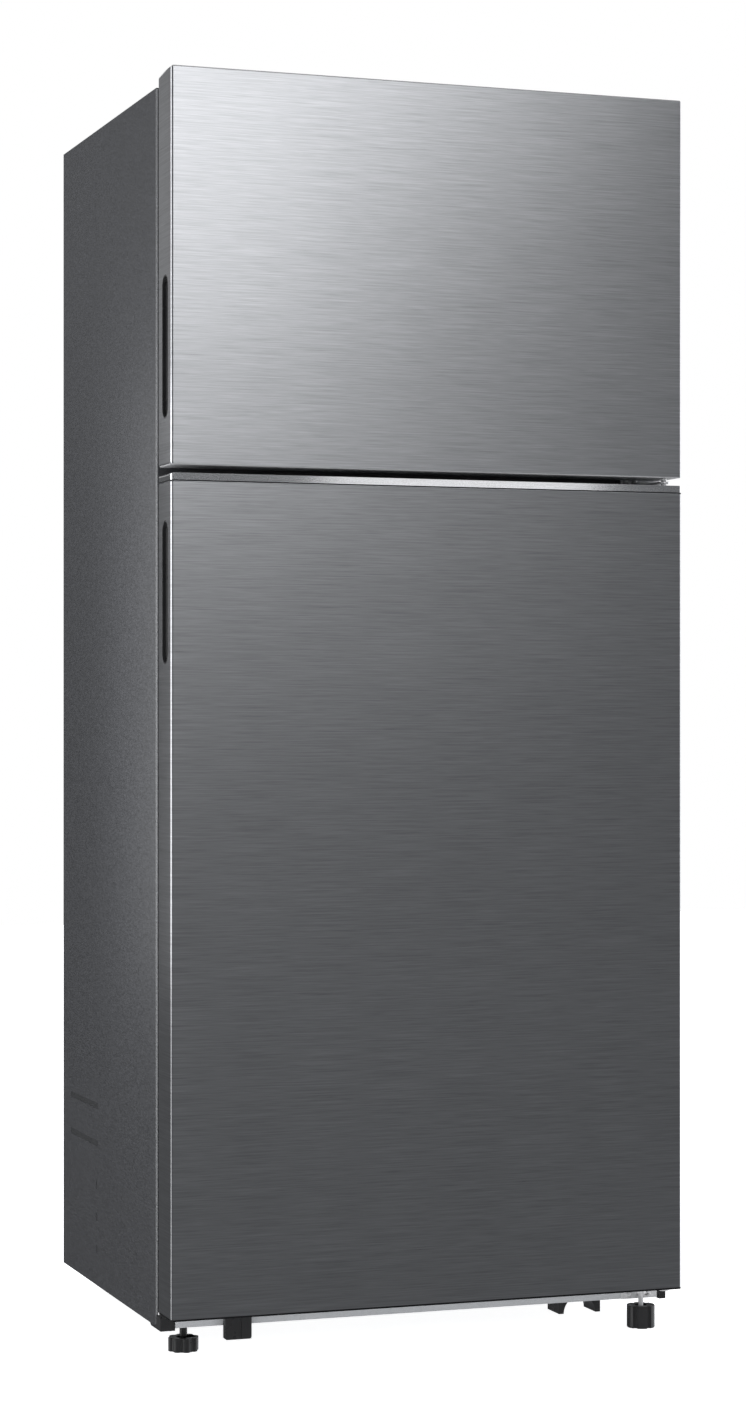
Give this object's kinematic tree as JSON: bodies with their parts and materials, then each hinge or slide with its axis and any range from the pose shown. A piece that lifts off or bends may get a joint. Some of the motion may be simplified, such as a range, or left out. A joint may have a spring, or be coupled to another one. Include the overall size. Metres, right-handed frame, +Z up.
{
  "type": "top freezer refrigerator",
  "caption": "Free-standing top freezer refrigerator with brushed steel doors, recessed side handles, shelves, drawers and door bins, levelling feet in front and rollers behind.",
  "frame": {"origin": "centre of the footprint, on the floor", "axes": "+Z up, +Y from the doors towards the back, +X to the right seen from the front"},
  "size_m": [0.79, 0.67, 1.8375],
  "materials": {
    "side_paint": "satin dark grey paint with a fine grain",
    "rear_sheet": "satin galvanised sheet",
    "foam": "rigid insulation foam",
    "liner_plastic": "glossy white liner",
    "divider_plastic": "matte dark grey",
    "rail_metal": "satin silver grey",
    "black_plastic": "matte black",
    "hinge_steel": "zinc plated",
    "screw_steel": "zinc plated",
    "hinge_cover_plastic": "matte dark grey",
    "roller_plastic": "matte black",
    "compressor_paint": "semi-gloss black",
    "pan_plastic": "matte dark grey",
    "coil_paint": "satin black",
    "fan_plastic": "matte black",
    "cover_plastic": "matte dark grey",
    "evaporator_aluminium": "bare aluminium",
    "motor_metal": "satin",
    "white_plastic": "satin white",
    "ice_plastic": "glossy pale blue",
    "clear_plastic": "clear glossy",
    "shelf_glass": "toughened glass",
    "trim_plastic": "glossy pale grey",
    "lamp_lens": "frosted white",
    "slider_plastic": "glossy blue",
    "door_steel": "horizontally brushed",
    "cap_plastic": "matte dark grey",
    "band_metal": "satin silver",
    "gasket_rubber": "matte dark grey"
  },
  "bodies": {
    "cabinet": {"left_side_panel": "side_paint", "right_side_panel": "side_paint", "top_panel": "side_paint", "rear_panel": "rear_sheet", "cabinet_floor": "rear_sheet", "insulation": "foam", "freezer_liner": "liner_plastic", "fridge_liner": "liner_plastic", "divider_cover": "divider_plastic", "base_rail": "rail_metal", "base_mouldings": "black_plastic", "top_hinge": "hinge_steel", "top_hinge_cover": "hinge_cover_plastic", "middle_hinge": "hinge_steel", "bottom_hinge": "hinge_steel", "hinge_screws": "screw_steel", "machine_base": "rear_sheet", "compressor": "compressor_paint", "drain_pan": "pan_plastic", "condenser_coil": "coil_paint", "condenser_fan_shroud": "fan_plastic", "machine_cover": "cover_plastic", "power_inlet": "black_plastic", "evaporator": "evaporator_aluminium", "evaporator_cover": "liner_plastic", "fan_motors": "motor_metal", "ice_rack": "ice_plastic", "air_duct": "liner_plastic", "glass_shelves": "shelf_glass", "shelf_trims": "trim_plastic", "lamp_covers": "lamp_lens"},
    "freezer_door_body": {"freezer_door_panel": "door_steel", "freezer_door_core": "foam", "freezer_door_liner": "liner_plastic", "freezer_door_caps": "cap_plastic", "freezer_door_gasket": "gasket_rubber", "freezer_door_handle": "black_plastic", "freezer_door_bins": "clear_plastic"},
    "fridge_door_body": {"fridge_door_panel": "door_steel", "fridge_door_core": "foam", "fridge_door_liner": "liner_plastic", "fridge_door_band": "band_metal", "fridge_door_bottom_cap": "cap_plastic", "fridge_door_gasket": "gasket_rubber", "fridge_door_handle": "black_plastic", "fridge_door_bins": "clear_plastic"},
    "left_crisper_body": {"left_crisper": "clear_plastic"},
    "right_crisper_body": {"right_crisper": "clear_plastic"},
    "ice_bin_body": {"ice_bin": "clear_plastic"},
    "ice_tray_body": {"ice_tray": "ice_plastic"},
    "evaporator_fan_body": {"evaporator_fan": "white_plastic"},
    "condenser_fan_body": {"condenser_fan": "fan_plastic"},
    "left_roller_body": {"left_roller": "roller_plastic"},
    "right_roller_body": {"right_roller": "roller_plastic"},
    "left_foot_body": {"left_foot": "black_plastic"},
    "right_foot_body": {"right_foot_stud": "hinge_steel", "right_foot_knob": "black_plastic"},
    "temperature_slider_body": {"temperature_slider": "slider_plastic"},
    "freezer_switch_body": {"freezer_door_switch": "white_plastic"},
    "fridge_switch_body": {"fridge_door_switch": "white_plastic"}
  },
  "joints": [
    {"name": "freezer_door_hinge", "type": "hinge", "parent": "cabinet", "child": "freezer_door_body", "pos_m": [0.376, -0.313, 1.555], "axis": [0, 0, 1], "range_deg": [0, 115]},
    {"name": "fridge_door_hinge", "type": "hinge", "parent": "cabinet", "child": "fridge_door_body", "pos_m": [0.376, -0.313, 0.66], "axis": [0, 0, 1], "range_deg": [0, 115]},
    {"name": "left_crisper_slide", "type": "slide", "parent": "cabinet", "child": "left_crisper_body", "axis": [0, -1, 0], "range_m": [0, 0.221]},
    {"name": "right_crisper_slide", "type": "slide", "parent": "cabinet", "child": "right_crisper_body", "axis": [0, -1, 0], "range_m": [0, 0.221]},
    {"name": "ice_bin_slide", "type": "slide", "parent": "cabinet", "child": "ice_bin_body", "axis": [0, -1, 0], "range_m": [0, 0.201]},
    {"name": "ice_tray_twist", "type": "hinge", "parent": "cabinet", "child": "ice_tray_body", "pos_m": [-0.25, -0.018, 1.69], "axis": [0, 1, 0], "range_deg": [0, 120], "stiffness_Nm_per_rad": 0.3},
    {"name": "evaporator_fan_spin", "type": "hinge", "parent": "cabinet", "child": "evaporator_fan_body", "pos_m": [0, 0.188, 1.64], "axis": [0, 1, 0], "continuous": true},
    {"name": "condenser_fan_spin", "type": "hinge", "parent": "cabinet", "child": "condenser_fan_body", "pos_m": [0.042, 0.205, 0.14], "axis": [1, 0, 0], "continuous": true},
    {"name": "left_roller_spin", "type": "hinge", "parent": "cabinet", "child": "left_roller_body", "pos_m": [-0.322, 0.262, 0.02], "axis": [1, 0, 0], "continuous": true},
    {"name": "right_roller_spin", "type": "hinge", "parent": "cabinet", "child": "right_roller_body", "pos_m": [0.322, 0.262, 0.02], "axis": [1, 0, 0], "continuous": true},
    {"name": "left_foot_height", "type": "slide", "parent": "cabinet", "child": "left_foot_body", "axis": [0, 0, 1], "range_m": [-0.01, 0.01]},
    {"name": "right_foot_height", "type": "slide", "parent": "cabinet", "child": "right_foot_body", "axis": [0, 0, 1], "range_m": [-0.007, 0.003]},
    {"name": "temperature_slide", "type": "slide", "parent": "cabinet", "child": "temperature_slider_body", "axis": [1, 0, 0], "range_m": [-0.03, 0.03]},
    {"name": "freezer_switch_travel", "type": "slide", "parent": "cabinet", "child": "freezer_switch_body", "axis": [0, -1, 0], "range_m": [0, 0.0071]},
    {"name": "fridge_switch_travel", "type": "slide", "parent": "cabinet", "child": "fridge_switch_body", "axis": [0, -1, 0], "range_m": [0, 0.0071]}
  ],
  "couplings": [
    {"joint": "left_crisper_slide", "follows": "fridge_door_hinge", "m_per_rad": 0.11},
    {"joint": "right_crisper_slide", "follows": "fridge_door_hinge", "m_per_rad": 0.11},
    {"joint": "ice_bin_slide", "follows": "freezer_door_hinge", "m_per_rad": 0.1},
    {"joint": "freezer_switch_travel", "follows": "freezer_door_hinge", "m_per_rad": 0.0035},
    {"joint": "fridge_switch_travel", "follows": "fridge_door_hinge", "m_per_rad": 0.0035}
  ]
}
